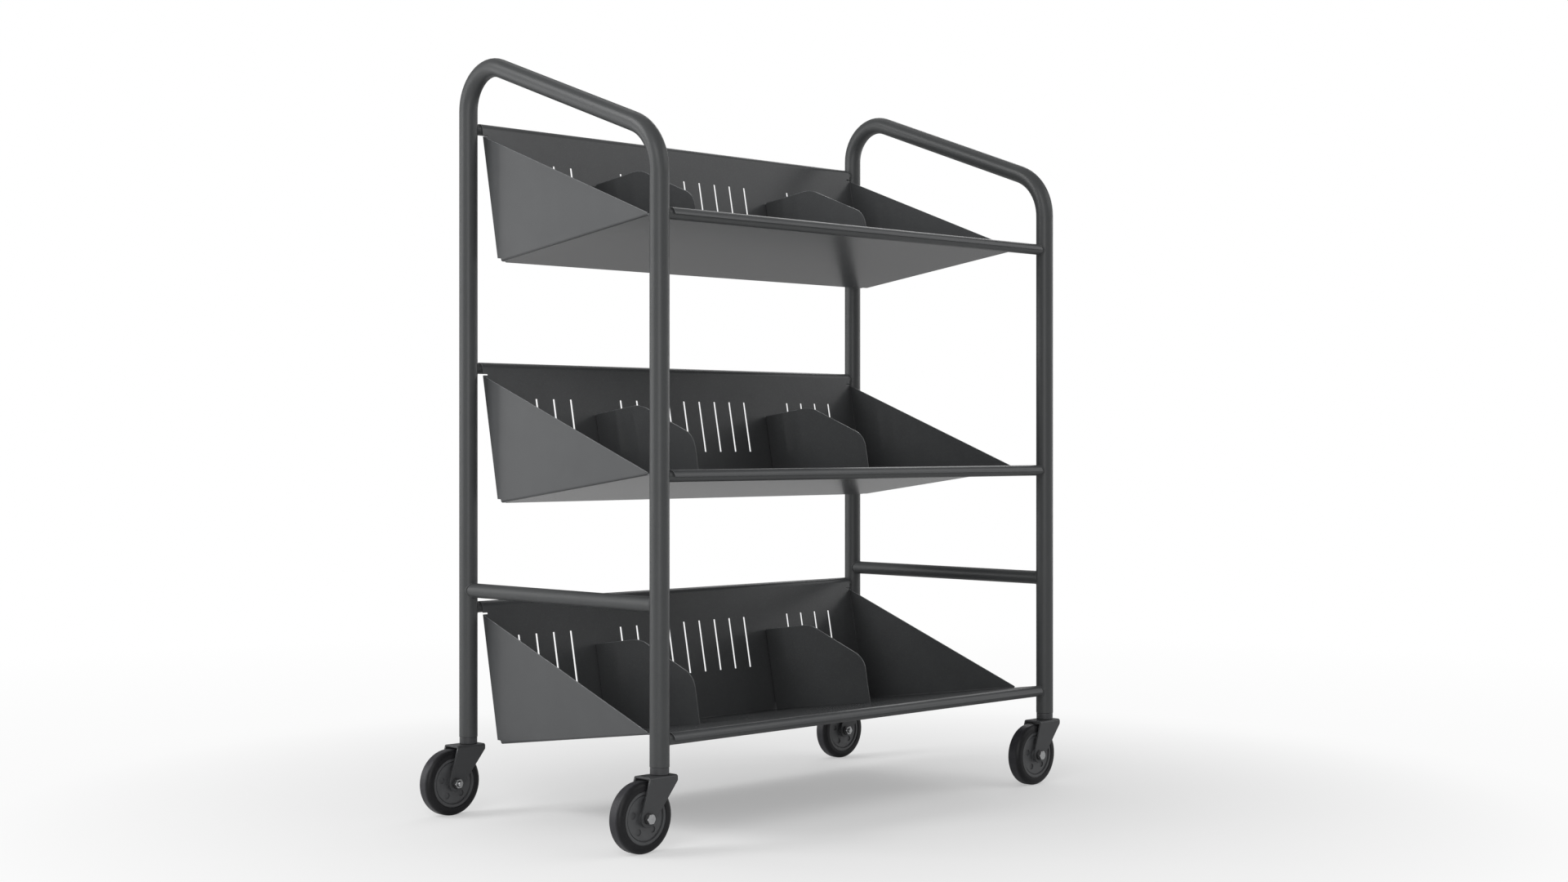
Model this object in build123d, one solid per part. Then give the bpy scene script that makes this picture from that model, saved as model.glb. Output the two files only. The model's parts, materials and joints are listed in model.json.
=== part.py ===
from build123d import *
import math
import os

# Book cart: two bent tube side frames, three tilted sheet-metal trays hung on cross rails,
# two upright dividers in each tray, and four swivel casters.
# Frame: origin on the floor under the middle of the four posts, +X along the length to the
# right, -Y to the front (where the trays open), +Z up. Millimetres.

# ---- Driving dimensions ------------------------------------------------------------------

# side frames
POST_PITCH_X = 858.0         # left posts to right posts, centre to centre
POST_PITCH_Y = 439.0         # front post to back post
FRAME_TUBE_R = 14.0
FRAME_TUBE_WALL = 1.5
POST_BOTTOM_Z = 116.0
HANDLE_BACK_Z = 1157.6       # where the handle's centre line would meet the back post
HANDLE_SLOPE = 20.0          # degrees, falling to the front
HANDLE_FRONT_BEND_R = 80.0   # on the centre line
HANDLE_BACK_BEND_R = 60.0

# rails
SIDE_RAIL_R = 11.0
SIDE_RAIL_Z = 340.0
CROSS_RAIL_R = 8.0
RAIL_WALL = 1.2
TOP_FRONT_RAIL_Z = 885.0
TOP_BACK_RAIL_Z = 1045.5
TRAY_PITCH = 366.5
TRAY_NAMES = ["bottom", "middle", "top"]
FIT_GAP = 0.05               # left between touching pieces

# trays
SHEET = 1.5
TRAY_HALF_WIDTH = 409.5
FLOOR_TILT = 7.8             # degrees, floor falls to the back
BACK_LEAN = 11.1             # degrees, back panel leans back
BEND_INSIDE_R = 2.0
LIP_STAND_OFF = 1.8          # the lip's arc is this much wider than the rail it goes round
LIP_END_ANGLE = 174.0        # where the lip's arc stops, clear of the rail
HOOK_END_ANGLE = -10.0       # where the back hook stops around its rail
SIDE_TOP_Z = 1035.0          # back top corner of the top tray's side panel
SIDE_SLOPE = 20.8            # degrees, top edge of the side panel
SIDE_BACK_FOOT_Z = 846.0     # lower end of the side panel's back edge, top tray
CORNER_NOTCH_Y = 165.5       # front edge of the notch at the lower back corner
NOTCH_RELIEF = 2.0           # the side fold stops this far ahead of the notch
REAR_BEND_HALF_WIDTH = 396.0
EDGE_SLIT_LENGTH = 9.0       # relief slit between side panel and back hook
EDGE_SLIT_HEIGHT = 2.4
SLIT_OVERRUN = 0.1           # the slit cutter passes the sheet's edge by this

# slots in the back panel
SLOT_PITCH = 34.6
SLOT_WIDTH = 4.0
SLOT_LENGTH = 85.5
SLOT_START = 78.0            # along the panel, from the tray's lower back corner
SLOT_LAST = 10
SLOTS_OMITTED = (5, 6)

# dividers
DIVIDER_X = 5.5 * SLOT_PITCH
DIVIDER_DEPTH = 222.2        # out from the back panel
DIVIDER_SHOULDER = 110.0     # where the top edge starts to fall
DIVIDER_BACK_H = 139.5       # along the back panel
DIVIDER_NOSE_H = 62.4        # height where the sloped edge would meet the front edge
DIVIDER_SHOULDER_R = 65.0
DIVIDER_NOSE_R = 33.0
DIVIDER_FLANGE = 14.0        # width, centred between two slots
DIVIDER_FLANGE_FROM = 14.0
DIVIDER_FLANGE_TO = 138.0
DIVIDER_BEND_LAP = 1.0       # the bend's straight end runs this far into the plate

# casters
WHEEL_R = 50.0
TYRE_WIDTH = 25.0
TYRE_SHOULDER_R = 8.0
TYRE_BEAD_R = 1.2
CASTER_TRAIL = 35.3          # wheel axle behind the swivel axis
FORK_TOP_Z = 105.2
FORK_SHEET = 2.8
FORK_HALF_WIDTH = 17.1
FORK_BACK = 32.0             # top plate behind and ahead of the swivel axis
FORK_FRONT = 19.0
FORK_CORNER_R = 4.0
FORK_BEND_R = 3.6
FORK_EAR_R = 12.5
NECK_R = 13.5
NECK_CHAMFER = 0.8
STEM_R = 5.5
STEM_CHAMFER = 1.0
STEM_TOP_Z = 160.0
SOCKET_TOP_Z = 166.0
RIVET_HEAD_R = 8.0
RIVET_HEAD_BOTTOM_Z = 96.4
RIVET_CHAMFER = 1.5
CUP_CLEARANCE = 0.5          # cup's bore around the rivet head
CUP_FOOT = 2.5               # the cup narrows by this to its lower rim
CUP_RIM = 0.8
CUP_R = 13.2
CUP_DEPTH = 3.2
RUN_GAP = 0.08               # radial running clearance
AXLE_R = 4.0
WASHER_R = 8.0
WASHER_H = 1.6
SLEEVE_R = 6.0
BOLT_HEAD_AF = 13.0
BOLT_HEAD_H = 5.3
BOLT_END = 4.0               # bolt thread standing out past the nut
NUT_H = 6.5
NUT_COUNTERSINK = 0.9
BOLT_CHAMFER = 0.8
HUB_R = 37.0
HUB_WIDTH = 22.0
HUB_BOSS_R = 10.5
HUB_BOSS_WIDTH = 27.6
HUB_RING_R = 33.0            # inner edge of the raised rim ring
HUB_GROOVE_R = 31.0
HUB_WEB_DROP = 1.6
HUB_GROOVE_DEPTH = 1.0
HUB_GROOVE_SLOPE = 0.6
HUB_BOSS_CHAMFER = 1.0
HUB_DIMPLES = 5
HUB_FIRST_DIMPLE = 22.0      # degrees from +X towards +Z
HUB_DIMPLE_R = 4.8
HUB_DIMPLE_PITCH_R = 22.0
HUB_DIMPLE_DEPTH = 1.6

# ---- Derived places ----------------------------------------------------------------------

POST_X = POST_PITCH_X / 2
POST_Y = POST_PITCH_Y / 2
HANDLE_FRONT_Z = HANDLE_BACK_Z - POST_PITCH_Y * math.tan(math.radians(HANDLE_SLOPE))
WRAP_IN = CROSS_RAIL_R + FIT_GAP
WRAP_OUT = WRAP_IN + SHEET
BEND_OUTSIDE_R = BEND_INSIDE_R + SHEET
FOLD_BACK_Y = CORNER_NOTCH_Y - NOTCH_RELIEF
CASTERS = {
    "front_left": (-POST_X, -POST_Y),
    "front_right": (POST_X, -POST_Y),
    "back_left": (-POST_X, POST_Y),
    "back_right": (POST_X, POST_Y),
}

PARTS = "parts"
os.makedirs(PARTS, exist_ok=True)


def save(shape, node):
    """Write one node, as a single solid or a group of separate ones."""
    export_step(shape, os.path.join(PARTS, node + ".step"))


# ---- Small 2-D helpers, all in the Y-Z plane ----------------------------------------------

def unit(angle):
    """Unit vector at an angle in degrees from +Y towards +Z."""
    return Vector(math.cos(math.radians(angle)), math.sin(math.radians(angle)))


def crossing(point_a, along_a, point_b, along_b):
    """Where two lines cross."""
    gap = point_b - point_a
    scale = (gap.X * along_b.Y - gap.Y * along_b.X) / (along_a.X * along_b.Y - along_a.Y * along_b.X)
    return point_a + along_a * scale


def arc_strip(centre, r_in, r_out, start, end):
    """Part of a ring between two angles."""
    outer = CenterArc(centre, r_out, start, end - start)
    inner = CenterArc(centre, r_in, start, end - start)
    sides = [Line(outer @ 0, inner @ 0), Line(outer @ 1, inner @ 1)]
    return make_face([outer, inner] + sides)


def outline(*points):
    """Straight-sided face."""
    return make_face(Polyline(*points, close=True))


def push(face, plane, length):
    """Place a flat face on a plane and extrude it along the plane's normal."""
    return extrude(plane * face, length, dir=plane.z_dir)


def across(face, x_from, x_to):
    """Extrude a Y-Z face between two X positions."""
    return push(face, Plane.YZ.offset(x_from), x_to - x_from)


def post_cutter(radius):
    """The four posts' outsides, for coping the ends of the rails."""
    cutter = Part()
    length = TOP_BACK_RAIL_Z + 4 * CROSS_RAIL_R
    for x, y in CASTERS.values():
        cutter += Pos(x, y, length / 2) * Cylinder(radius, length)
    return cutter


# ---- Side frames and rails ----------------------------------------------------------------

def side_frame(x):
    """One tube, bent over the top: front post, sloping handle and back post."""
    foot = (x, -POST_Y, POST_BOTTOM_Z)
    path = FilletPolyline(
        foot,
        (x, -POST_Y, HANDLE_FRONT_Z),
        (x, POST_Y, HANDLE_BACK_Z),
        (x, POST_Y, POST_BOTTOM_Z),
        radius=(HANDLE_FRONT_BEND_R, HANDLE_BACK_BEND_R),
    )
    start = Plane(origin=foot, z_dir=(0, 0, 1))
    outside = sweep(start * Circle(FRAME_TUBE_R), path=path)
    inside = sweep(start * Circle(FRAME_TUBE_R - FRAME_TUBE_WALL), path=path)
    return outside - inside


def tube_along(axis_plane, radius, length):
    """Straight tube centred on a plane, along the plane's normal."""
    section = Circle(radius) - Circle(radius - RAIL_WALL)
    return extrude(axis_plane * section, length / 2, both=True)


def side_rail(x, cutter):
    """Low tie between the front and back post of one frame."""
    axis = Plane(origin=(x, 0, SIDE_RAIL_Z), z_dir=(0, 1, 0))
    return tube_along(axis, SIDE_RAIL_R, POST_PITCH_Y) - cutter


def cross_rail(y, z, cutter):
    """Rail from the left frame to the right one, carrying one edge of a tray."""
    axis = Plane(origin=(0, y, z), z_dir=(1, 0, 0))
    return tube_along(axis, CROSS_RAIL_R, POST_PITCH_X) - cutter


# ---- Trays --------------------------------------------------------------------------------

class TrayProfile:
    """Side view of the top tray: directions, bend centre and lower back corner."""

    def __init__(self):
        self.front = Vector(-POST_Y, TOP_FRONT_RAIL_Z)
        self.back = Vector(POST_Y, TOP_BACK_RAIL_Z)
        self.floor_dir = unit(-FLOOR_TILT)
        self.floor_up = unit(90 - FLOOR_TILT)
        self.panel_dir = unit(90 - BACK_LEAN)
        self.panel_out = unit(180 - BACK_LEAN)
        self.bend = self.inside(BEND_INSIDE_R, BEND_INSIDE_R)
        self.corner = self.inside(-SHEET, -SHEET)

    def inside(self, above_floor, ahead_of_panel):
        """Point at given distances from the floor's top face and the panel's front face."""
        on_floor = self.front + self.floor_up * (WRAP_OUT + above_floor)
        on_panel = self.back + self.panel_out * (WRAP_OUT + ahead_of_panel)
        return crossing(on_floor, self.floor_dir, on_panel, self.panel_dir)

    def on_panel(self, forward, along):
        """Point ahead of the panel's front face and along it from the lower back corner."""
        return self.corner + self.panel_out * (SHEET + forward) + self.panel_dir * along

    def floor_at(self, y, lift):
        """Point over the floor's underside at one Y, lifted along its normal."""
        base = self.front + self.floor_up * (WRAP_IN + lift)
        return crossing(base, self.floor_dir, Vector(y, 0), Vector(0, 1))


TRAY = TrayProfile()


def floor_face(back_end):
    """Floor's side view, from the front rail to a pair of end points (underside, top)."""
    underside = TRAY.front + TRAY.floor_up * WRAP_IN
    top = TRAY.front + TRAY.floor_up * WRAP_OUT
    return outline(underside, top, back_end[1], back_end[0])


def panel_face(low_end):
    """Back panel's side view, up to the back rail from a pair of points (rear, front)."""
    rear = TRAY.back + TRAY.panel_out * WRAP_IN
    front = TRAY.back + TRAY.panel_out * WRAP_OUT
    return outline(low_end[0], low_end[1], front, rear)


def front_lip_face():
    """Lip's side view: touches the rail under the floor and stands off it at its free edge."""
    centre = TRAY.front - TRAY.floor_up * LIP_STAND_OFF
    inner, outer = WRAP_IN + LIP_STAND_OFF, WRAP_OUT + LIP_STAND_OFF
    return arc_strip(centre, inner, outer, 90 - FLOOR_TILT, LIP_END_ANGLE)


def back_hook_face():
    return arc_strip(TRAY.back, WRAP_IN, WRAP_OUT, HOOK_END_ANGLE, 180 - BACK_LEAN)


def side_fold_x():
    """Where the floor ends and the side fold begins."""
    return TRAY_HALF_WIDTH - BEND_OUTSIDE_R


def side_panel_tip_y():
    """Where the side panel's sloped top edge runs out into the fold."""
    rear_top = crossing(TRAY.corner, TRAY.panel_dir, Vector(0, SIDE_TOP_Z), Vector(1, 0))
    fold_top = TRAY.floor_at(0, BEND_OUTSIDE_R)
    return crossing(rear_top, unit(SIDE_SLOPE), fold_top, TRAY.floor_dir).X


def side_panel(side):
    """Triangular end wall with its fold along the tray floor."""
    tip_y = side_panel_tip_y()
    rear_top = crossing(TRAY.corner, TRAY.panel_dir, Vector(0, SIDE_TOP_Z), Vector(1, 0))
    rear_foot = crossing(TRAY.corner, TRAY.panel_dir, Vector(0, SIDE_BACK_FOOT_Z), Vector(1, 0))
    notch = Vector(CORNER_NOTCH_Y, SIDE_BACK_FOOT_Z)
    fold_front_top = TRAY.floor_at(tip_y, BEND_OUTSIDE_R)
    fold_back_top = TRAY.floor_at(FOLD_BACK_Y, BEND_OUTSIDE_R)
    wall = outline(fold_front_top, rear_top, rear_foot, notch, fold_back_top)
    sheet = across(wall, TRAY_HALF_WIDTH - SHEET, TRAY_HALF_WIDTH)

    fold_start = TRAY.floor_at(FOLD_BACK_Y, 0)
    fold_plane = Plane(
        origin=(0, fold_start.X, fold_start.Y),
        x_dir=(1, 0, 0),
        z_dir=(0, -TRAY.floor_dir.X, -TRAY.floor_dir.Y),
    )
    fold_centre = Vector(side_fold_x(), BEND_OUTSIDE_R)
    fold_section = arc_strip(fold_centre, BEND_INSIDE_R, BEND_OUTSIDE_R, -90, 0)
    fold_length = (TRAY.floor_at(tip_y, 0) - fold_start).length
    sheet += push(fold_section, fold_plane, fold_length)
    if side < 0:
        sheet = mirror(sheet, Plane.YZ)
    return sheet


def slot_cutters():
    """Narrow upright slots through the back panel, in three groups."""
    middle = TRAY.on_panel(-SHEET / 2, SLOT_START + SLOT_LENGTH / 2)
    slots = []
    for index in range(-SLOT_LAST, SLOT_LAST + 1):
        if abs(index) in SLOTS_OMITTED:
            continue
        place = Pos(index * SLOT_PITCH, middle.X, middle.Y) * Rot(-BACK_LEAN, 0, 0)
        slots.append(place * Box(SLOT_WIDTH, 4 * SHEET, SLOT_LENGTH))
    return slots


def edge_slit_cutters():
    """Relief slits at both ends of the back panel, just above the side panels."""
    place = TRAY.on_panel(-SHEET / 2, 0)
    height = SIDE_TOP_Z + EDGE_SLIT_HEIGHT / 2 + SLIT_OVERRUN
    y = crossing(place, TRAY.panel_dir, Vector(0, height), Vector(1, 0)).X
    x = TRAY_HALF_WIDTH - EDGE_SLIT_LENGTH / 2 + SLIT_OVERRUN
    slit = Box(EDGE_SLIT_LENGTH + 2 * SLIT_OVERRUN, 5 * SHEET, EDGE_SLIT_HEIGHT)
    return [Pos(side * x, y, height) * Rot(-BACK_LEAN, 0, 0) * slit for side in (-1, 1)]


def top_tray():
    """One folded sheet: front lip, floor, back panel, back hook and two side panels."""
    floor_end = [TRAY.bend - TRAY.floor_up * radius for radius in (BEND_OUTSIDE_R, BEND_INSIDE_R)]
    panel_end = [TRAY.bend - TRAY.panel_out * radius for radius in (BEND_OUTSIDE_R, BEND_INSIDE_R)]
    bend = arc_strip(TRAY.bend, BEND_INSIDE_R, BEND_OUTSIDE_R, 270 - FLOOR_TILT, 360 - BACK_LEAN)
    inner = TRAY_HALF_WIDTH - SHEET
    fold_x = side_fold_x()

    notch_floor = (TRAY.floor_at(FOLD_BACK_Y, 0), TRAY.floor_at(FOLD_BACK_Y, SHEET))
    tip_floor = (TRAY.floor_at(side_panel_tip_y(), 0), TRAY.floor_at(side_panel_tip_y(), SHEET))
    foot_rear = crossing(TRAY.corner, TRAY.panel_dir, Vector(0, SIDE_BACK_FOOT_Z), Vector(1, 0))
    foot_end = (foot_rear, foot_rear + TRAY.panel_out * SHEET)
    slit_rear = crossing(TRAY.corner, TRAY.panel_dir, Vector(0, SIDE_TOP_Z), Vector(1, 0))
    slit_end = (slit_rear, slit_rear + TRAY.panel_out * SHEET)

    rear = REAR_BEND_HALF_WIDTH
    tray = across(bend, -rear, rear)
    tray += across(floor_face(floor_end), -rear, rear)
    tray += across(panel_face(panel_end), -rear, rear)
    tray += across(floor_face(notch_floor), -fold_x, fold_x)
    tray += across(floor_face(tip_floor), -TRAY_HALF_WIDTH, TRAY_HALF_WIDTH)
    tray += across(panel_face(foot_end), -inner, inner)
    tray += across(panel_face(slit_end), -TRAY_HALF_WIDTH, TRAY_HALF_WIDTH)
    tray += across(front_lip_face(), -TRAY_HALF_WIDTH, TRAY_HALF_WIDTH)
    tray += across(back_hook_face(), -TRAY_HALF_WIDTH, TRAY_HALF_WIDTH)
    tray += side_panel(-1) + side_panel(1)
    for cutter in slot_cutters() + edge_slit_cutters():
        tray -= cutter
    return tray


# ---- Dividers -----------------------------------------------------------------------------

def top_divider():
    """Upright plate across the tray with a flange against the back panel, centred on X = 0."""
    start = BEND_OUTSIDE_R + FIT_GAP
    fall = math.tan(math.radians(BACK_LEAN - FLOOR_TILT))
    foot_back = TRAY.inside(FIT_GAP, start)
    foot_front = TRAY.inside(FIT_GAP, DIVIDER_DEPTH)
    shoulder = TRAY.on_panel(DIVIDER_SHOULDER, DIVIDER_BACK_H - DIVIDER_SHOULDER * fall)
    plate = outline(
        foot_back,
        TRAY.on_panel(start, DIVIDER_BACK_H - start * fall),
        shoulder,
        TRAY.on_panel(DIVIDER_DEPTH, DIVIDER_NOSE_H),
        foot_front,
    )
    corners = plate.vertices()
    nose = TRAY.on_panel(DIVIDER_DEPTH, DIVIDER_NOSE_H)
    plate = fillet(corners.sort_by_distance(nose)[0], DIVIDER_NOSE_R)
    plate = fillet(plate.vertices().sort_by_distance(shoulder)[0], DIVIDER_SHOULDER_R)
    edge = -DIVIDER_FLANGE / 2
    body = across(plate, edge, edge + SHEET)

    foot = TRAY.on_panel(FIT_GAP, DIVIDER_FLANGE_FROM)
    section_plane = Plane(
        origin=(0, foot.X, foot.Y),
        x_dir=(1, 0, 0),
        z_dir=(0, TRAY.panel_dir.X, TRAY.panel_dir.Y),
    )
    centre = Vector(edge + BEND_OUTSIDE_R, -BEND_OUTSIDE_R)
    lap = centre.Y - DIVIDER_BEND_LAP
    section = arc_strip(centre, BEND_INSIDE_R, BEND_OUTSIDE_R, 90, 180)
    section += outline((centre.X, -SHEET), (-edge, -SHEET), (-edge, 0), (centre.X, 0))
    section += outline((edge, lap), (edge + SHEET, lap), (edge + SHEET, centre.Y), (edge, centre.Y))
    return body + push(section, section_plane, DIVIDER_FLANGE_TO - DIVIDER_FLANGE_FROM)


# ---- Casters ------------------------------------------------------------------------------
# Each is drawn with its swivel axis on X = Y = 0 and its wheel trailing to -X.

AXLE = Pos(-CASTER_TRAIL, 0, WHEEL_R)
AXLE_FRAME = AXLE * Rot(90, 0, 0)          # local Z along -Y, the wheel's axis


def ring(r_out, r_in, z_low, z_high):
    """Plain ring on the swivel axis."""
    return extrude(Pos(0, 0, z_low) * (Circle(r_out) - Circle(r_in)), z_high - z_low)


def caster_socket():
    """Sleeve pressed into the end of a post, holding the stem."""
    outer = FRAME_TUBE_R - FRAME_TUBE_WALL - FIT_GAP
    return ring(outer, STEM_R + FIT_GAP, POST_BOTTOM_Z + FIT_GAP, SOCKET_TOP_Z)


def caster_stem():
    """Stem, bearing neck under the post and rivet head under the fork."""
    head_top = FORK_TOP_Z - FORK_SHEET - RUN_GAP - RIVET_CHAMFER
    neck_low = FORK_TOP_Z + RUN_GAP
    neck_high = POST_BOTTOM_Z - FIT_GAP
    profile = make_face(Polyline(
        (0, RIVET_HEAD_BOTTOM_Z),
        (RIVET_HEAD_R - RIVET_CHAMFER, RIVET_HEAD_BOTTOM_Z),
        (RIVET_HEAD_R, RIVET_HEAD_BOTTOM_Z + RIVET_CHAMFER),
        (RIVET_HEAD_R, head_top),
        (STEM_R, head_top),
        (STEM_R, neck_low),
        (NECK_R - NECK_CHAMFER, neck_low),
        (NECK_R, neck_low + NECK_CHAMFER),
        (NECK_R, neck_high - NECK_CHAMFER),
        (NECK_R - NECK_CHAMFER, neck_high),
        (STEM_R, neck_high),
        (STEM_R, STEM_TOP_Z - STEM_CHAMFER),
        (STEM_R - STEM_CHAMFER, STEM_TOP_Z),
        (0, STEM_TOP_Z),
        close=True,
    ))
    return revolve(Plane.XZ * profile, Axis.Z)


def fork_leg_face():
    """Side view of a fork leg: wide at the top plate, narrowing to a round ear."""
    ear = Vector(-CASTER_TRAIL, WHEEL_R)
    top = FORK_TOP_Z - FORK_BEND_R
    back_top = Vector(-FORK_BACK, top)
    front_top = Vector(FORK_FRONT, top)
    front_low = Vector(FORK_FRONT, FORK_TOP_Z - 2 * FORK_CORNER_R)
    back_side = tangent_point(back_top, ear, FORK_EAR_R, 1)
    front_side = tangent_point(front_low, ear, FORK_EAR_R, -1)
    low_angle = math.degrees(math.atan2(back_side.Y - ear.Y, back_side.X - ear.X)) % 360
    high_angle = math.degrees(math.atan2(front_side.Y - ear.Y, front_side.X - ear.X)) % 360
    arc = CenterArc(ear, FORK_EAR_R, low_angle, high_angle - low_angle)
    edges = [
        arc,
        Line(arc @ 1, front_low),
        Line(front_low, front_top),
        Line(front_top, back_top),
        Line(back_top, arc @ 0),
    ]
    return make_face(edges)


def tangent_point(point, centre, radius, side):
    """Where the tangent from a point touches a circle, on one side of it."""
    away = point - centre
    turn = side * math.degrees(math.acos(radius / away.length))
    base = math.degrees(math.atan2(away.Y, away.X))
    return centre + unit(base + turn) * radius


def fork():
    """Folded sheet fork: top plate, two rounded folds and two legs."""
    top = FORK_TOP_Z
    flat = FORK_HALF_WIDTH - FORK_BEND_R
    length = FORK_BACK + FORK_FRONT
    middle_x = (FORK_FRONT - FORK_BACK) / 2
    body = Pos(middle_x, 0, top - FORK_SHEET / 2) * Box(length, 2 * flat, FORK_SHEET)
    fold_inside = FORK_BEND_R - FORK_SHEET
    for side, start in ((-1, 90), (1, 0)):
        centre = Vector(side * flat, top - FORK_BEND_R)
        fold = arc_strip(centre, fold_inside, FORK_BEND_R, start, start + 90)
        body += across(fold, -FORK_BACK, FORK_FRONT)
        leg_back_y = max(side * FORK_HALF_WIDTH, side * (FORK_HALF_WIDTH - FORK_SHEET))
        body += push(fork_leg_face(), Plane.XZ.offset(-leg_back_y), FORK_SHEET)
    low_front = [
        edge for edge in body.edges().filter_by(Axis.Y)
        if abs(edge.center().X - FORK_FRONT) < FIT_GAP and edge.center().Z < top - FORK_BEND_R
    ]
    body = fillet(low_front, FORK_CORNER_R)
    body -= Pos(0, 0, top) * Cylinder(STEM_R + RUN_GAP, 4 * FORK_SHEET)
    body -= AXLE_FRAME * Cylinder(AXLE_R + RUN_GAP, 4 * FORK_HALF_WIDTH)
    return body


def bearing_cup():
    """Lower ball race under the fork's top plate, around the rivet head."""
    top = FORK_TOP_Z - FORK_SHEET - FIT_GAP
    inner = RIVET_HEAD_R + CUP_CLEARANCE
    profile = make_face(Polyline(
        (inner, top),
        (inner, top - CUP_DEPTH),
        (CUP_R - CUP_FOOT, top - CUP_DEPTH),
        (CUP_R, top - CUP_RIM),
        (CUP_R, top),
        close=True,
    ))
    return revolve(Plane.XZ * profile, Axis.Z)


def hexagon_block(height):
    """Hexagon with the corners chamfered at the outer end, local Z outwards from 0."""
    block = extrude(RegularPolygon(BOLT_HEAD_AF / 2, 6, major_radius=False), height)
    corner_r = BOLT_HEAD_AF / math.sqrt(3)
    cone = Cone(corner_r + 2 * height, corner_r - BOLT_CHAMFER, 2 * height + BOLT_CHAMFER,
                align=(Align.CENTER, Align.CENTER, Align.MAX))
    return block & (Pos(0, 0, height) * cone)


def axle_side(side):
    """Frame on the outside face of one fork leg, local Z outwards (side -1 is -Y)."""
    outside = Pos(0, side * (FORK_HALF_WIDTH + FIT_GAP), 0)
    return outside * AXLE * Rot(-90 * side, 0, 0)


def on_washer(side):
    """Frame on the outer face of one washer."""
    return axle_side(side) * Pos(0, 0, WASHER_H + FIT_GAP)


def axle_bolt(side):
    """Hex bolt through both washers and fork legs, head on the given side."""
    length = 2 * (FORK_HALF_WIDTH + WASHER_H) + NUT_H + BOLT_END
    shank = Pos(0, 0, -length / 2) * Cylinder(AXLE_R, length)
    shank = chamfer(shank.edges().sort_by(Axis.Z)[0], BOLT_CHAMFER)
    return on_washer(side) * (hexagon_block(BOLT_HEAD_H) + shank)


def axle_nut(side):
    """Hex nut on the bolt's threaded end."""
    bore = AXLE_R + FIT_GAP
    mouth = Cone(bore, bore + NUT_COUNTERSINK, NUT_COUNTERSINK, align=(Align.CENTER, Align.CENTER, Align.MAX))
    body = hexagon_block(NUT_H) - Cylinder(bore, 4 * NUT_H)
    return on_washer(side) * (body - Pos(0, 0, NUT_H) * mouth)


def axle_washer(side):
    """Flat washer on the outside of one fork leg."""
    disc = Circle(WASHER_R) - Circle(AXLE_R + 2 * RUN_GAP)
    return axle_side(side) * extrude(disc, WASHER_H)


def axle_sleeve():
    """Tube clamped between the fork legs, on which the wheel turns."""
    length = 2 * (FORK_HALF_WIDTH - FORK_SHEET) - 2 * FIT_GAP
    return AXLE_FRAME * (Cylinder(SLEEVE_R, length) - Cylinder(AXLE_R + RUN_GAP, length))


def hub():
    """Moulded wheel centre: boss, recessed web with dimples, groove and raised ring."""
    half = HUB_WIDTH / 2
    web = half - HUB_WEB_DROP
    boss = HUB_BOSS_WIDTH / 2
    right = [
        (SLEEVE_R + RUN_GAP, boss),
        (HUB_BOSS_R - HUB_BOSS_CHAMFER, boss),
        (HUB_BOSS_R, web),
        (HUB_GROOVE_R, web),
        (HUB_GROOVE_R + HUB_GROOVE_SLOPE, web - HUB_GROOVE_DEPTH),
        (HUB_RING_R - HUB_GROOVE_SLOPE, web - HUB_GROOVE_DEPTH),
        (HUB_RING_R, half),
        (HUB_R, half),
    ]
    left = [(radius, -z) for radius, z in reversed(right)]
    body = revolve(Plane.XZ * make_face(Polyline(*right, *left, close=True)), Axis.Z)
    for index in range(HUB_DIMPLES):
        for face in (-1, 1):
            turn = Rot(0, 0, HUB_FIRST_DIMPLE + 360 * index / HUB_DIMPLES)
            dimple = Pos(HUB_DIMPLE_PITCH_R, 0, face * web) * Cylinder(HUB_DIMPLE_R, 2 * HUB_DIMPLE_DEPTH)
            body -= turn * dimple
    return AXLE_FRAME * body


def tyre():
    """Rubber tyre moulded on the hub, with round shoulders."""
    inner = HUB_R + FIT_GAP
    section = Pos((WHEEL_R + inner) / 2, 0) * Rectangle(WHEEL_R - inner, TYRE_WIDTH)
    tread = section.vertices().group_by(Axis.X)[-1]
    section = fillet(tread, TYRE_SHOULDER_R)
    section = fillet(section.vertices().group_by(Axis.X)[0], TYRE_BEAD_R)
    return AXLE_FRAME * revolve(Plane.XZ * section, Axis.Z)


# ---- Build and write every node -------------------------------------------------------------

def write_frame():
    cutter = post_cutter(FRAME_TUBE_R + FIT_GAP)
    for name, x in (("left", -POST_X), ("right", POST_X)):
        save(side_frame(x), name + "_side_frame")
        save(side_rail(x, cutter), name + "_side_rail")
    for level, name in enumerate(reversed(TRAY_NAMES)):
        drop = level * TRAY_PITCH
        save(cross_rail(-POST_Y, TOP_FRONT_RAIL_Z - drop, cutter), name + "_front_rail")
        save(cross_rail(POST_Y, TOP_BACK_RAIL_Z - drop, cutter), name + "_back_rail")


def write_trays():
    tray = top_tray()
    divider = top_divider()
    for level, name in enumerate(reversed(TRAY_NAMES)):
        drop = Pos(0, 0, -level * TRAY_PITCH)
        save(drop * tray, name + "_tray")
        save(drop * Pos(-DIVIDER_X, 0, 0) * divider, name + "_left_divider")
        save(drop * Pos(DIVIDER_X, 0, 0) * divider, name + "_right_divider")


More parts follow.
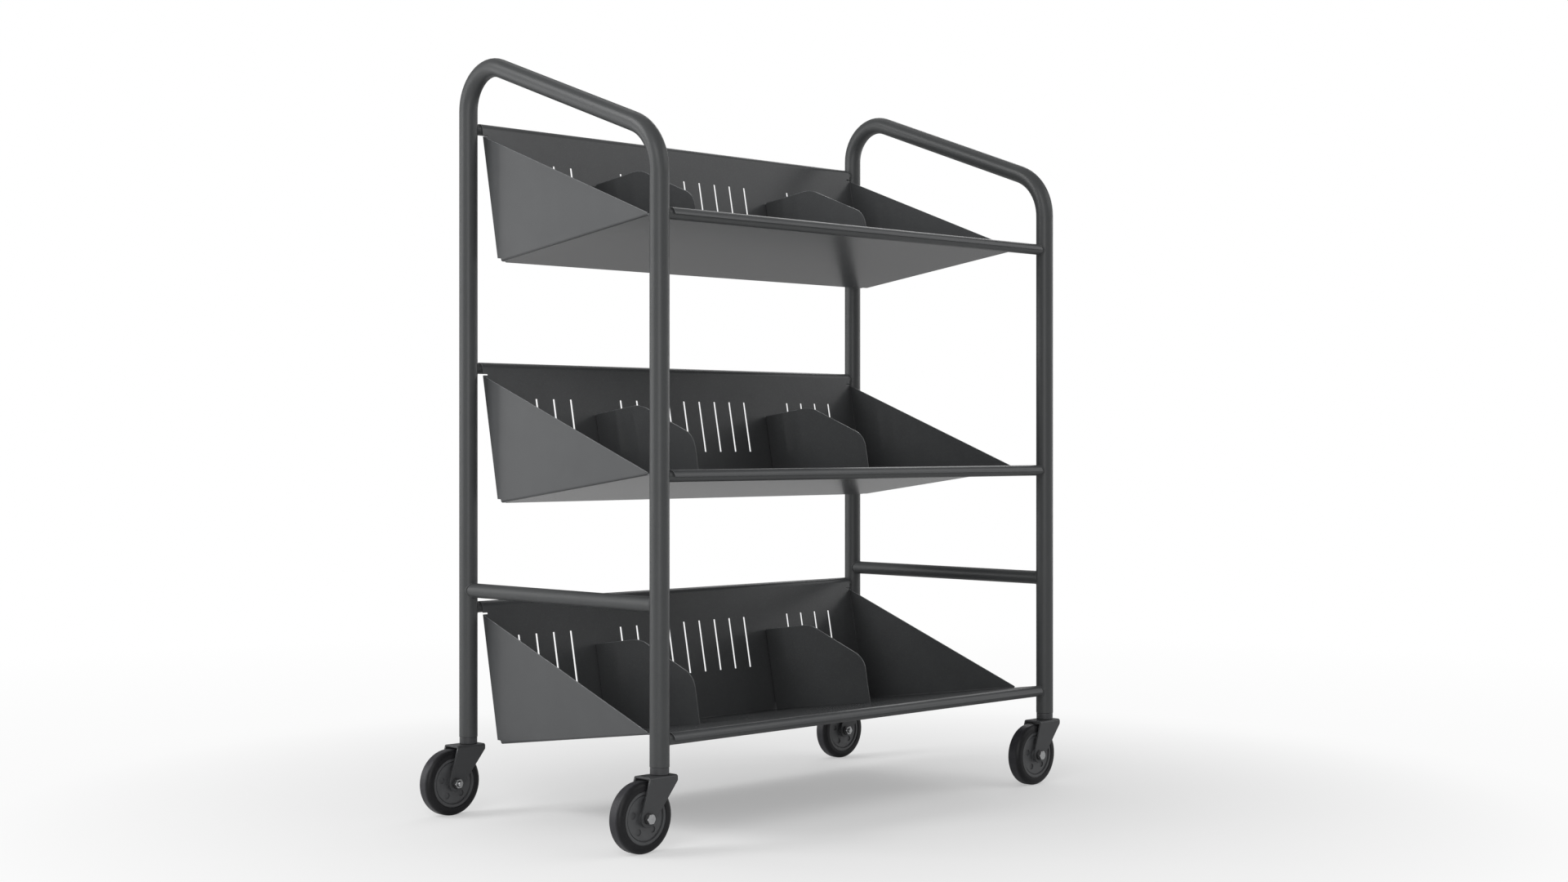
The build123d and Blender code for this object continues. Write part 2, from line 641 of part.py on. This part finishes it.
def write_casters():
    socket, stem = caster_socket(), caster_stem()
    places = [Pos(x, y, 0) for x, y in CASTERS.values()]
    save(Compound(children=[place * socket for place in places]), "caster_sockets")
    save(Compound(children=[place * stem for place in places]), "caster_stems")
    pieces = {"fork": fork(), "bearing_cup": bearing_cup(), "axle_sleeve": axle_sleeve(),
              "wheel_hub": hub(), "tyre": tyre()}
    for name, (x, y) in CASTERS.items():
        head_side = -1 if y < 0 else 1
        for piece, shape in pieces.items():
            save(Pos(x, y, 0) * shape, name + "_" + piece)
        save(Pos(x, y, 0) * axle_bolt(head_side), name + "_axle_bolt")
        save(Pos(x, y, 0) * axle_nut(-head_side), name + "_axle_nut")
        washers = Compound(children=[axle_washer(-1), axle_washer(1)])
        save(Pos(x, y, 0) * washers, name + "_axle_washers")


write_frame()
write_trays()
write_casters()
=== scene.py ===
import json
import math

import bmesh
import bpy
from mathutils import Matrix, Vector

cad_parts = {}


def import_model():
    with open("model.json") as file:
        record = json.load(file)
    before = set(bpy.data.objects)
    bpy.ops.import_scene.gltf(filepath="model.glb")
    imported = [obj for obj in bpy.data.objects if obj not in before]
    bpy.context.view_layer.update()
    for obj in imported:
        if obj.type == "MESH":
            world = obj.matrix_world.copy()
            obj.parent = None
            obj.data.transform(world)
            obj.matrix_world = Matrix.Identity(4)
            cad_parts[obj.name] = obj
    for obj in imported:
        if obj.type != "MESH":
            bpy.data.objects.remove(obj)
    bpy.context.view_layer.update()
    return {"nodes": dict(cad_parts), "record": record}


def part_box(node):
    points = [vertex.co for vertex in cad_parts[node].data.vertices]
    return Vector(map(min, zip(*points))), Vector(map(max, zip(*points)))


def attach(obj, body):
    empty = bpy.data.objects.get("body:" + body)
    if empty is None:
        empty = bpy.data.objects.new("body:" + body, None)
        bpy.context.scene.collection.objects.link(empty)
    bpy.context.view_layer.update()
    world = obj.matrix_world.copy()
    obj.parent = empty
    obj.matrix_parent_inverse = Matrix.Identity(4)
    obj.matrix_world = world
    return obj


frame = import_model()
SLOTS = {part["node"]: part["material_slot"] for part in frame["record"]["subparts"]}
COLOURS = {entry["slot"]: entry["base_color"] for entry in frame["record"]["materials"]}
MM = 0.001


# ---- Node graphs ---------------------------------------------------------------------------

# The mix node's colour sockets share their names with its other sockets, so they go by number.
MIX_FACTOR, MIX_A, MIX_B = 0, 6, 7
MIX_RESULT = 2


class Graph:
    """Short ways to build one material's nodes."""

    def __init__(self, name):
        self.material = bpy.data.materials.new(name)
        self.material.use_nodes = True
        self.tree = self.material.node_tree
        self.tree.nodes.clear()
        self.place = self.node("ShaderNodeTexCoord").outputs["Object"]    # in the piece's own axes

    def node(self, kind, **settings):
        """A new node of a kind, with some of its settings changed."""
        made = self.tree.nodes.new(kind)
        for key, value in settings.items():
            setattr(made, key, value)
        return made

    def feed(self, socket, value):
        """Set an input to a number, a colour or another node's output."""
        if isinstance(value, bpy.types.NodeSocket):
            self.tree.links.new(value, socket)
        elif hasattr(value, "__len__") and len(value) == 3 and socket.type == "RGBA":
            socket.default_value = (*value, 1)
        else:
            socket.default_value = value

    def math(self, operation, a, b=0.0):
        """One sum on numbers or outputs."""
        made = self.node("ShaderNodeMath", operation=operation)
        self.feed(made.inputs[0], a)
        self.feed(made.inputs[1], b)
        return made.outputs[0]

    def noise(self, size, detail=2.0, roughness=0.5):
        """Grey noise whose features are about the given size in metres."""
        made = self.node("ShaderNodeTexNoise")
        self.feed(made.inputs["Vector"], self.place)
        self.feed(made.inputs["Scale"], 1 / size)
        self.feed(made.inputs["Detail"], detail)
        self.feed(made.inputs["Roughness"], roughness)
        return made.outputs["Fac"]

    def ramp(self, value, low, high, start=0.0, end=1.0):
        """Straight map from one range to another, clamped."""
        made = self.node("ShaderNodeMapRange")
        for index, number in enumerate((value, low, high, start, end)):
            self.feed(made.inputs[index], number)
        return made.outputs[0]

    def mix(self, share, a, b):
        """Colour a, giving way to colour b as the share goes from 0 to 1."""
        made = self.node("ShaderNodeMix", data_type="RGBA")
        self.feed(made.inputs[MIX_FACTOR], share)
        self.feed(made.inputs[MIX_A], a)
        self.feed(made.inputs[MIX_B], b)
        return made.outputs[MIX_RESULT]

    def bump(self, height, depth, strength, normal=None):
        """Surface direction disturbed by a height map; depth is in metres."""
        made = self.node("ShaderNodeBump")
        self.feed(made.inputs["Height"], height)
        self.feed(made.inputs["Distance"], depth)
        self.feed(made.inputs["Strength"], strength)
        if normal is not None:
            self.feed(made.inputs["Normal"], normal)
        return made.outputs[0]

    def split(self, vector):
        """X, Y and Z of a vector."""
        made = self.node("ShaderNodeSeparateXYZ")
        self.feed(made.inputs[0], vector)
        return made.outputs

    def rounded(self, radius):
        """Surface direction with the edges rounded off by a radius."""
        made = self.node("ShaderNodeBevel", samples=4)
        self.feed(made.inputs["Radius"], radius)
        return made.outputs[0]

    def upper_edge_rub_and_highlight(self, radius):
        """Near 1 on outside edges that face up, and 0 elsewhere, for rubbed paint and a painted
        highlight where light falls from above.
        """
        rounded = self.rounded(radius)
        flat = self.node("ShaderNodeNewGeometry").outputs["Normal"]
        likeness = self.node("ShaderNodeVectorMath", operation="DOT_PRODUCT")
        self.feed(likeness.inputs[0], rounded)
        self.feed(likeness.inputs[1], flat)
        sharp = self.ramp(likeness.outputs["Value"], 0.99, 0.85)
        return self.math("MULTIPLY", sharp, self.ramp(self.split(rounded)["Z"], 0.1, 0.5))

    def normal_along_y(self):
        """Y part of the surface's direction, in the piece's own axes."""
        return self.split(self.node("ShaderNodeTexCoord").outputs["Normal"])["Y"]

    def facing(self):
        """0 where the surface faces the viewer, towards 1 at a grazing view."""
        return self.node("ShaderNodeLayerWeight").outputs["Facing"]

    def finish(self, **inputs):
        """Close the graph with one Principled shader; spaces in input names are underscores."""
        shader = self.node("ShaderNodeBsdfPrincipled")
        for key, value in inputs.items():
            self.feed(shader.inputs[key.replace("_", " ")], value)
        out = self.node("ShaderNodeOutputMaterial")
        self.tree.links.new(shader.outputs[0], out.inputs["Surface"])
        return self.material


def scaled(colour, factor):
    """A colour made lighter or darker."""
    return tuple(channel * factor for channel in colour)


# ---- Materials -------------------------------------------------------------------------------

EDGE_RADIUS = 0.8 * MM                # rounding of painted edges, in shading only
RUB_AND_HIGHLIGHT_REACH = 1.2 * MM                  # how far an upper edge's rubbing and painted highlight reach
RUB_AND_HIGHLIGHT_STRENGTH = 0.9
RUB_AND_HIGHLIGHT_TONE = 4.8                        # rubbed paint and painted highlight on upper edges, as a multiple of the base colour
RUB_POLISH = 0.08                     # how much less rough rubbed paint is


def powder_coat(slot, roughness):
    """Satin powder coat: fine grain, slow mottling, and upper edges lighter, partly rubbed paint and
    partly a painted highlight.
    """
    g = Graph(slot)
    base = COLOURS[slot]
    mottle = g.noise(45 * MM, detail=3)
    grain = g.noise(0.9 * MM, detail=3, roughness=0.6)
    slow = g.mix(g.ramp(mottle, 0.3, 0.7), scaled(base, 0.86), scaled(base, 0.94))
    body = g.mix(g.ramp(grain, 0.35, 0.75, 0, 0.55), slow, scaled(base, 1.35))
    patchy = g.ramp(g.noise(9 * MM, detail=4), 0.3, 0.6, 0.5, 1)
    # Upper edges lighter: rubbed paint, and a painted highlight where light falls from above.
    rubbed_and_highlit = g.math("MULTIPLY", g.upper_edge_rub_and_highlight(RUB_AND_HIGHLIGHT_REACH), patchy)
    body = g.mix(g.math("MULTIPLY", rubbed_and_highlit, RUB_AND_HIGHLIGHT_STRENGTH), body, scaled(base, RUB_AND_HIGHLIGHT_TONE))
    rough = g.ramp(grain, 0.3, 0.7, roughness - 0.02, roughness + 0.02)
    rough = g.math("SUBTRACT", rough, g.math("MULTIPLY", rubbed_and_highlit, RUB_POLISH))
    gloss = g.ramp(g.facing(), 0.3, 0.85, 0.25, 0.06)
    normal = g.bump(grain, 0.012 * MM, 0.5, normal=g.rounded(EDGE_RADIUS))
    return g.finish(Base_Color=body, Roughness=rough, Normal=normal, Specular_IOR_Level=gloss)


def hub_plastic():
    """Moulded plastic: faint flow marks and a fine spark-eroded grain."""
    g = Graph("hub_plastic")
    base = COLOURS["hub_plastic"]
    flow = g.noise(12 * MM, detail=3)
    grain = g.noise(0.5 * MM, detail=2)
    body = g.mix(g.ramp(flow, 0.3, 0.7), scaled(base, 1.2), scaled(base, 1.5))
    rough = g.math("ADD", g.ramp(flow, 0.3, 0.7, 0.46, 0.54), g.ramp(grain, 0.3, 0.7, -0.03, 0.03))
    return g.finish(Base_Color=body, Roughness=rough, Normal=g.bump(grain, 0.03 * MM, 0.5))


def tyre_rubber():
    """Black rubber: near black on the sides; the tread greyer and duller, partly from wear and dust
    and partly as a painted highlight.
    """
    g = Graph("tyre_rubber")
    base = COLOURS["tyre_rubber"]
    dust = g.noise(7 * MM, detail=5, roughness=0.65)
    grain = g.noise(0.6 * MM, detail=3)
    sideways = g.math("ABSOLUTE", g.normal_along_y())
    tread = g.ramp(sideways, 0.55, 0.1)
    # Tread tone: part dust and wear, part a painted highlight of the light falling on it.
    worn_and_highlit = g.mix(g.ramp(dust, 0.35, 0.75), scaled(base, 2.8), scaled(base, 4.0))
    side = g.mix(g.ramp(dust, 0.45, 0.75, 0, 0.4), base, scaled(base, 2.0))
    body = g.mix(tread, side, worn_and_highlit)
    rough = g.math("ADD", g.ramp(dust, 0.3, 0.7, 0.36, 0.46), g.ramp(grain, 0.3, 0.7, -0.03, 0.03))
    normal = g.bump(grain, 0.05 * MM, 0.6)
    return g.finish(Base_Color=body, Roughness=rough, Normal=normal, Specular_IOR_Level=0.2)


def zinc_steel():
    """Zinc plate: brushed, slightly uneven in tone."""
    g = Graph("zinc_steel")
    base = COLOURS["zinc_steel"]
    bloom = g.noise(3 * MM, detail=4)
    brushed = g.noise(0.25 * MM, detail=2)
    body = g.mix(g.ramp(bloom, 0.35, 0.65), scaled(base, 0.8), base)
    rough = g.math("ADD", g.ramp(bloom, 0.3, 0.7, 0.26, 0.4), g.ramp(brushed, 0.3, 0.7, -0.05, 0.05))
    normal = g.bump(brushed, 0.02 * MM, 0.4)
    return g.finish(Base_Color=body, Metallic=1.0, Roughness=rough, Normal=normal)


def socket_plastic():
    """Black nylon with a fine even grain."""
    g = Graph("socket_plastic")
    base = COLOURS["socket_plastic"]
    grain = g.noise(0.6 * MM, detail=2)
    body = g.mix(g.ramp(grain, 0.3, 0.7), scaled(base, 0.8), scaled(base, 1.2))
    rough = g.ramp(grain, 0.3, 0.7, 0.4, 0.5)
    return g.finish(Base_Color=body, Roughness=rough, Normal=g.bump(grain, 0.03 * MM, 0.5))


MATERIALS = {
    "frame_coat": powder_coat("frame_coat", roughness=0.36),
    "sheet_coat": powder_coat("sheet_coat", roughness=0.26),
    "caster_coat": powder_coat("caster_coat", roughness=0.34),
    "hub_plastic": hub_plastic(),
    "tyre_rubber": tyre_rubber(),
    "zinc_steel": zinc_steel(),
    "black_steel": powder_coat("black_steel", roughness=0.36),
    "socket_plastic": socket_plastic(),
}


def dress(piece, slot):
    """Give a piece its material slot's one material."""
    piece.data.materials.clear()
    piece.data.materials.append(MATERIALS[slot])


for name, piece in frame["nodes"].items():
    dress(piece, SLOTS[name])


# ---- Weld beads ------------------------------------------------------------------------------
# The CAD leaves the joints between rails and posts bare; each gets a ring of weld.

BEAD_RADIUS = 1.5 * MM
BEAD_RIPPLE = 0.12                    # share of the radius
BEAD_RIPPLES = 30                     # per turn round the rail
BEAD_STEPS = 150                      # along the bead
BEAD_SIDES = 10                       # round the bead
FRAME_LOW, FRAME_HIGH = (Vector(corner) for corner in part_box("right_side_frame"))
POST_RADIUS = (FRAME_HIGH.x - FRAME_LOW.x) / 2


def bead_path(rail_radius):
    """Closed curve where a rail meets a post: distance out from the post's centre line, then
    sideways and up from the rail's centre line."""
    path = []
    for step in range(BEAD_STEPS):
        turn = 2 * math.pi * step / BEAD_STEPS
        side = rail_radius * math.cos(turn)
        up = rail_radius * math.sin(turn)
        path.append((math.sqrt(POST_RADIUS ** 2 - side ** 2), side, up))
    return path


def add_bead(mesh, points):
    """Tube of slightly rippled radius along a closed curve."""
    count = len(points)
    middle = sum(points, Vector()) / count
    loops = []
    for index, point in enumerate(points):
        tangent = (points[(index + 1) % count] - points[index - 1]).normalized()
        outward = point - middle
        outward = (outward - tangent * outward.dot(tangent)).normalized()
        beside = tangent.cross(outward)
        ripple = math.sin(2 * math.pi * BEAD_RIPPLES * index / count)
        radius = BEAD_RADIUS * (1 + BEAD_RIPPLE * ripple)
        loop = []
        for side in range(BEAD_SIDES):
            turn = 2 * math.pi * side / BEAD_SIDES
            offset = outward * math.cos(turn) + beside * math.sin(turn)
            loop.append(mesh.verts.new(point + offset * radius))
        loops.append(loop)
    for index, loop in enumerate(loops):
        following = loops[(index + 1) % count]
        for side in range(BEAD_SIDES):
            after = (side + 1) % BEAD_SIDES
            mesh.faces.new((loop[side], loop[after], following[after], following[side]))


def add_piece(name, mesh, slot, body):
    """Turn a bmesh into a smooth, dressed piece riding on a body."""
    bmesh.ops.recalc_face_normals(mesh, faces=mesh.faces)
    data = bpy.data.meshes.new(name)
    mesh.to_mesh(data)
    mesh.free()
    data.shade_smooth()
    piece = bpy.data.objects.new(name, data)
    bpy.context.scene.collection.objects.link(piece)
    dress(piece, slot)
    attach(piece, body)


def rail_welds(rail, rail_axis):
    """Both beads of one rail, which runs along X (0) or Y (1)."""
    low, high = (Vector(corner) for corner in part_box(rail))
    middle = (low + high) / 2
    rail_radius = (high.z - low.z) / 2
    post_centre = FRAME_HIGH[rail_axis] - POST_RADIUS
    mesh = bmesh.new()
    for end in (-1, 1):
        points = []
        for out, side, up in bead_path(rail_radius):
            point = Vector((0, 0, middle.z + up))
            point[rail_axis] = end * (post_centre - out)
            point[1 - rail_axis] = middle[1 - rail_axis] + side
            points.append(point)
        add_bead(mesh, points)
    add_piece(rail + "_welds", mesh, "frame_coat", "root")


for level in ("top", "middle", "bottom"):
    for place in ("front", "back"):
        rail_welds(level + "_" + place + "_rail", 0)
for side in ("left", "right"):
    rail_welds(side + "_side_rail", 1)


# ---- Studio ----------------------------------------------------------------------------------

FLOOR_REACH = 12.0                    # half the floor's width
FLOOR_TONE = (0.86, 0.86, 0.86)
# The camera sees the floor's own shading mixed with a pale painted glow: it lifts the shadows, and
# is dimmer near the object as painted shade. Distances are from the origin.
SHADE_END = (0.3, 1.3)                # where the shading starts to give way, and where it has gone
SHADOW_LIFT = 0.4                     # the glow's share close to the object
GLOW_REACH = (0.2, 1.2, 3.0)
GLOW_TONE = (0.74, 0.96, 1.0)         # the glow's brightness at those three distances
SKY = 0.4                             # strength of the dome that lights the object
LAMP_REACH = 3.6
LAMP_AIM = (0, 0, 0.55)
LAMP_SIZE = (1.4, 1.5)
KEY_WATTS = 50.0
LOW, HIGH, TOP = 5, 32, 60            # lamp elevations in degrees
# Lamps round the object: azimuth in degrees from +X towards +Y, elevation, and stops below the
# key lamp. A stop is half the power.
SOFTBOXES = {
    "left_key": (150, HIGH, 0),
    "left_front_low": (150, LOW, 1.5),
    "left_low": (120, LOW, 1.5),
    "camera_high": (210, HIGH, 1),
    "camera_low": (225, LOW, 1),
    "right_front_high": (300, HIGH, 2),
    "right_low": (330, LOW, 2.5),
    "right_high": (330, HIGH, 2.5),
    "right_back_low": (0, LOW, 1.5),
    "back_high": (30, HIGH, 2),
    "back_top": (60, TOP, 3),
}


def floor_material():
    """Matt pale floor. The camera sees its shadows lifted, and sees it run out into white."""
    g = Graph("floor")
    grain = g.noise(4 * MM, detail=3)
    tone = g.mix(g.ramp(grain, 0.3, 0.7), scaled(FLOOR_TONE, 0.995), FLOOR_TONE)
    matt = g.node("ShaderNodeBsdfDiffuse")
    g.feed(matt.inputs["Color"], tone)
    length = g.node("ShaderNodeVectorMath", operation="LENGTH")
    g.feed(length.inputs[0], g.place)
    reach = length.outputs["Value"]
    white = g.node("ShaderNodeEmission")
    near = g.ramp(reach, GLOW_REACH[0], GLOW_REACH[1], GLOW_TONE[0], GLOW_TONE[1])
    far = g.ramp(reach, GLOW_REACH[1], GLOW_REACH[2], 0, GLOW_TONE[2] - GLOW_TONE[1])
    glow = g.math("ADD", near, far)
    g.feed(white.inputs["Color"], g.mix(glow, (0, 0, 0), (1, 1, 1)))
    seen = g.node("ShaderNodeLightPath").outputs["Is Camera Ray"]
    share = g.math("MULTIPLY", seen, g.ramp(reach, *SHADE_END, SHADOW_LIFT, 1.0))
    blend = g.node("ShaderNodeMixShader")
    g.feed(blend.inputs[0], share)
    g.tree.links.new(matt.outputs[0], blend.inputs[1])
    g.tree.links.new(white.outputs[0], blend.inputs[2])
    out = g.node("ShaderNodeOutputMaterial")
    g.tree.links.new(blend.outputs[0], out.inputs["Surface"])
    return g.material


def floor():
    """Level square under the object, kept out of its model."""
    mesh = bpy.data.meshes.new("floor")
    r = FLOOR_REACH
    mesh.from_pydata([(-r, -r, 0), (r, -r, 0), (r, r, 0), (-r, r, 0)], [], [(0, 1, 2, 3)])
    mesh.materials.append(floor_material())
    plate = bpy.data.objects.new("floor", mesh)
    bpy.context.scene.collection.objects.link(plate)


def world():
    """White to the camera, and a dimmer even dome to the object."""
    sky = bpy.data.worlds.new("studio")
    sky.use_nodes = True
    tree = sky.node_tree
    tree.nodes.clear()
    seen = tree.nodes.new("ShaderNodeBackground")
    seen.inputs[0].default_value = (1, 1, 1, 1)
    lit = tree.nodes.new("ShaderNodeBackground")
    lit.inputs[0].default_value = (SKY, SKY, SKY, 1)
    path = tree.nodes.new("ShaderNodeLightPath")
    pick = tree.nodes.new("ShaderNodeMixShader")
    out = tree.nodes.new("ShaderNodeOutputWorld")
    tree.links.new(path.outputs["Is Camera Ray"], pick.inputs[0])
    tree.links.new(lit.outputs[0], pick.inputs[1])
    tree.links.new(seen.outputs[0], pick.inputs[2])
    tree.links.new(pick.outputs[0], out.inputs["Surface"])
    bpy.context.scene.world = sky


def softbox(name, azimuth, elevation, stops):
    """Soft lamp on a sphere round the object, aimed at its middle."""
    data = bpy.data.lights.new(name, "AREA")
    data.shape = "RECTANGLE"
    data.size, data.size_y = LAMP_SIZE
    data.energy = KEY_WATTS / 2 ** stops
    box = bpy.data.objects.new(name, data)
    turn, lift = math.radians(azimuth), math.radians(elevation)
    out = Vector((math.cos(turn) * math.cos(lift), math.sin(turn) * math.cos(lift), math.sin(lift)))
    box.location = Vector(LAMP_AIM) + LAMP_REACH * out
    box.rotation_euler = (-out).to_track_quat("-Z", "Y").to_euler()
    box.visible_camera = False
    bpy.context.scene.collection.objects.link(box)


# ---- Camera ----------------------------------------------------------------------------------

CAMERA_PLACE = (-2.443, -2.480, 0.568)
CAMERA_TURN = -44.97                  # degrees about the vertical, from looking along +Y
LENS_MM = 50
SENSOR_MM = 36


def camera():
    """Level camera in front of the cart's left front corner."""
    data = bpy.data.cameras.new("camera")
    data.lens = LENS_MM
    data.sensor_width = SENSOR_MM
    made = bpy.data.objects.new("camera", data)
    made.location = CAMERA_PLACE
    made.rotation_euler = (math.radians(90), 0, math.radians(CAMERA_TURN))
    bpy.context.scene.collection.objects.link(made)
    bpy.context.scene.camera = made


floor()
world()
for name, (azimuth, elevation, stops) in SOFTBOXES.items():
    softbox(name, azimuth, elevation, stops)
camera()
bpy.context.scene.view_settings.view_transform = "Standard"
